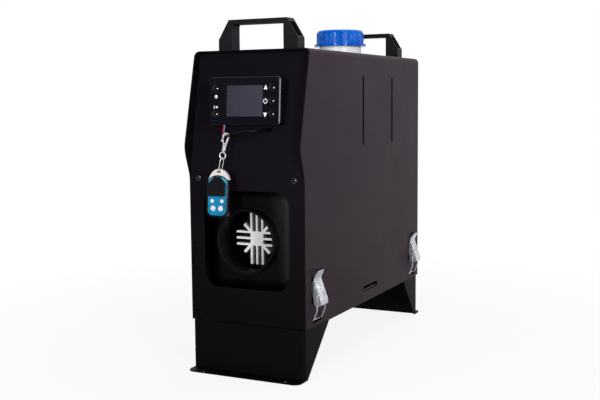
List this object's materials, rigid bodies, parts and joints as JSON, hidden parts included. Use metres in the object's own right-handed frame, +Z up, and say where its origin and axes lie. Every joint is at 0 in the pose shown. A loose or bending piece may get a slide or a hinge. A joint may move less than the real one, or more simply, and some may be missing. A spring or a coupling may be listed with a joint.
{
  "type": "diesel air heater",
  "caption": "Portable upright diesel air heater in a sheet metal case with tank, carrying handles, toggle latches, control panel and a remote fob on a snap hook.",
  "frame": {"origin": "on the floor under the feet, midway between the front and rear rows of foot holes", "axes": "+X to the right seen from the front, +Y from the warm air outlet to the back, +Z up"},
  "size_m": [0.1698, 0.4236, 0.411],
  "materials": {
    "black_powder_coat": "fine satin powder coat",
    "zinc": "bright zinc plate",
    "screw_black": "black oxide",
    "tank_plastic": "natural polyethylene",
    "cap_blue": "moulded satin",
    "rubber_black": "matt",
    "pump_steel": "turned",
    "heater_plastic": "moulded, fine spark texture",
    "cast_alloy": "as cast",
    "pipe_steel": "drawn",
    "board_green": "solder mask",
    "fan_plastic": "moulded",
    "controller_black": "polished",
    "controller_case": "fine texture",
    "screen_grey": "polished window",
    "button_black": "polished dome",
    "hook_chrome": "polished",
    "fob_black": "polished",
    "fob_chrome": "polished",
    "fob_cyan": "satin",
    "silver_paint": "silver paint",
    "bracket_black": "black passivated",
    "cable_black": "satin",
    "wire_red": "satin"
  },
  "bodies": {
    "casing": {"casing_shell": "black_powder_coat", "front_panel": "black_powder_coat", "rear_panel": "black_powder_coat", "base_tray": "black_powder_coat", "front_leg": "black_powder_coat", "rear_leg": "black_powder_coat", "front_handle": "black_powder_coat", "rear_handle": "black_powder_coat", "heater_saddle": "black_powder_coat", "casing_screws": "screw_black", "latch_brackets": "bracket_black", "latch_pins": "zinc", "fuel_tank": "tank_plastic", "fuel_hoses": "rubber_black", "pump_clamp": "rubber_black", "fuel_pump": "pump_steel", "outlet_hood": "heater_plastic", "heater_case_upper": "heater_plastic", "heater_case_lower": "heater_plastic", "inlet_grille": "heater_plastic", "heat_exchanger": "cast_alloy", "blower_motor": "cast_alloy", "exhaust_pipe": "pipe_steel", "intake_pipe": "pipe_steel", "glow_plug": "pipe_steel", "control_board": "board_green", "controller_fascia": "controller_black", "controller_housing": "controller_case", "controller_screen": "screen_grey", "controller_cable": "cable_black", "controller_wires": "wire_red"},
    "lever_front_right": {"latch_lever_front_right": "zinc"},
    "bail_front_right": {"latch_bail_front_right": "zinc"},
    "lever_front_left": {"latch_lever_front_left": "zinc"},
    "bail_front_left": {"latch_bail_front_left": "zinc"},
    "lever_rear_right": {"latch_lever_rear_right": "zinc"},
    "bail_rear_right": {"latch_bail_rear_right": "zinc"},
    "lever_rear_left": {"latch_lever_rear_left": "zinc"},
    "bail_rear_left": {"latch_bail_rear_left": "zinc"},
    "cap_thread": {"cap_gasket": "rubber_black"},
    "cap": {"fuel_cap": "cap_blue"},
    "menu_button": {"menu_button": "button_black"},
    "set_button": {"set_button": "button_black"},
    "up_button": {"up_button": "button_black"},
    "power_button": {"power_button": "button_black"},
    "down_button": {"down_button": "button_black"},
    "fan": {"fan_wheel": "fan_plastic", "combustion_wheel": "cast_alloy"},
    "hook": {"hook_body": "hook_chrome"},
    "gate": {"hook_gate": "hook_chrome"},
    "swivel": {"hook_swivel": "hook_chrome"},
    "link": {"key_link": "hook_chrome"},
    "fob": {"fob_shell": "fob_black", "fob_arch": "fob_chrome", "fob_face_plate": "fob_cyan"},
    "fob_slider": {"fob_cover": "fob_black"},
    "fob_button_upper_left": {"fob_button_upper_left": "silver_paint"},
    "fob_button_upper_right": {"fob_button_upper_right": "silver_paint"},
    "fob_button_lower_left": {"fob_button_lower_left": "silver_paint"},
    "fob_button_lower_right": {"fob_button_lower_right": "silver_paint"}
  },
  "joints": [
    {"name": "lever_front_right_turn", "type": "hinge", "parent": "casing", "child": "lever_front_right", "pos_m": [0.0802, -0.1605, 0.0875], "axis": [0, 1, 0], "range_deg": [0, 120]},
    {"name": "bail_front_right_turn", "type": "hinge", "parent": "lever_front_right", "child": "bail_front_right", "pos_m": [0.0799, -0.1605, 0.096], "axis": [0, 1, 0], "range_deg": [-121, 0]},
    {"name": "lever_front_left_turn", "type": "hinge", "parent": "casing", "child": "lever_front_left", "pos_m": [-0.0802, -0.1605, 0.0875], "axis": [0, -1, 0], "range_deg": [0, 120]},
    {"name": "bail_front_left_turn", "type": "hinge", "parent": "lever_front_left", "child": "bail_front_left", "pos_m": [-0.0799, -0.1605, 0.096], "axis": [0, -1, 0], "range_deg": [-121, 0]},
    {"name": "lever_rear_right_turn", "type": "hinge", "parent": "casing", "child": "lever_rear_right", "pos_m": [0.0802, 0.1645, 0.0875], "axis": [0, 1, 0], "range_deg": [0, 120]},
    {"name": "bail_rear_right_turn", "type": "hinge", "parent": "lever_rear_right", "child": "bail_rear_right", "pos_m": [0.0799, 0.1645, 0.096], "axis": [0, 1, 0], "range_deg": [-121, 0]},
    {"name": "lever_rear_left_turn", "type": "hinge", "parent": "casing", "child": "lever_rear_left", "pos_m": [-0.0802, 0.1645, 0.0875], "axis": [0, -1, 0], "range_deg": [0, 120]},
    {"name": "bail_rear_left_turn", "type": "hinge", "parent": "lever_rear_left", "child": "bail_rear_left", "pos_m": [-0.0799, 0.1645, 0.096], "axis": [0, -1, 0], "range_deg": [-121, 0]},
    {"name": "cap_turn", "type": "hinge", "parent": "cap_thread", "child": "cap", "pos_m": [0, 0.08, 0.4], "axis": [0, 0, 1], "range_deg": [0, 1081]},
    {"name": "cap_lift", "type": "slide", "parent": "casing", "child": "cap_thread", "axis": [0, 0, 1], "range_m": [0, 0.018]},
    {"name": "menu_button_press", "type": "slide", "parent": "casing", "child": "menu_button", "axis": [0, 0.9976, -0.0698], "range_m": [0, 0.0012], "stiffness_N_per_m": 400},
    {"name": "set_button_press", "type": "slide", "parent": "casing", "child": "set_button", "axis": [0, 0.9976, -0.0698], "range_m": [0, 0.0012], "stiffness_N_per_m": 400},
    {"name": "up_button_press", "type": "slide", "parent": "casing", "child": "up_button", "axis": [0, 0.9976, -0.0698], "range_m": [0, 0.0012], "stiffness_N_per_m": 400},
    {"name": "power_button_press", "type": "slide", "parent": "casing", "child": "power_button", "axis": [0, 0.9976, -0.0698], "range_m": [0, 0.0012], "stiffness_N_per_m": 400},
    {"name": "down_button_press", "type": "slide", "parent": "casing", "child": "down_button", "axis": [0, 0.9976, -0.0698], "range_m": [0, 0.0012], "stiffness_N_per_m": 400},
    {"name": "fan_spin", "type": "hinge", "parent": "casing", "child": "fan", "pos_m": [0, 0.08, 0.1565], "axis": [0, -1, 0], "continuous": true},
    {"name": "hook_swing", "type": "hinge", "parent": "casing", "child": "hook", "pos_m": [-0.0155, -0.206, 0.2775], "axis": [0.7496, -0.6428, -0.158], "range_deg": [-15, 3]},
    {"name": "gate_turn", "type": "hinge", "parent": "hook", "child": "gate", "pos_m": [-0.0181, -0.20646, 0.26701], "axis": [-0.7496, 0.6428, 0.158], "range_deg": [0, 16], "stiffness_Nm_per_rad": 0.004},
    {"name": "swivel_turn", "type": "hinge", "parent": "hook", "child": "swivel", "pos_m": [-0.01921, -0.206, 0.25989], "axis": [-0.2062, 0, -0.9785], "range_deg": [-12, 30]},
    {"name": "link_swing", "type": "hinge", "parent": "swivel", "child": "link", "pos_m": [-0.02086, -0.206, 0.25206], "axis": [-1, 0, 0], "range_deg": [0, 30]},
    {"name": "fob_swing", "type": "hinge", "parent": "link", "child": "fob", "pos_m": [-0.02402, -0.206, 0.23709], "axis": [0, -1, 0], "range_deg": [-12, 5]},
    {"name": "fob_cover_slide", "type": "slide", "parent": "fob", "child": "fob_slider", "axis": [0, -0.1045, -0.9945], "range_m": [0, 0.02]},
    {"name": "fob_button_upper_left_press", "type": "slide", "parent": "fob", "child": "fob_button_upper_left", "axis": [0, 0.9945, -0.1045], "range_m": [0, 0.0005], "stiffness_N_per_m": 300},
    {"name": "fob_button_upper_right_press", "type": "slide", "parent": "fob", "child": "fob_button_upper_right", "axis": [0, 0.9945, -0.1045], "range_m": [0, 0.0005], "stiffness_N_per_m": 300},
    {"name": "fob_button_lower_left_press", "type": "slide", "parent": "fob", "child": "fob_button_lower_left", "axis": [0, 0.9945, -0.1045], "range_m": [0, 0.0005], "stiffness_N_per_m": 300},
    {"name": "fob_button_lower_right_press", "type": "slide", "parent": "fob", "child": "fob_button_lower_right", "axis": [0, 0.9945, -0.1045], "range_m": [0, 0.0005], "stiffness_N_per_m": 300}
  ],
  "couplings": [
    {"joint": "bail_front_right_turn", "follows": "lever_front_right_turn", "ratio": -1},
    {"joint": "bail_front_left_turn", "follows": "lever_front_left_turn", "ratio": -1},
    {"joint": "bail_rear_right_turn", "follows": "lever_rear_right_turn", "ratio": -1},
    {"joint": "bail_rear_left_turn", "follows": "lever_rear_left_turn", "ratio": -1},
    {"joint": "cap_turn", "follows": "cap_lift", "rad_per_m": 1047}
  ]
}
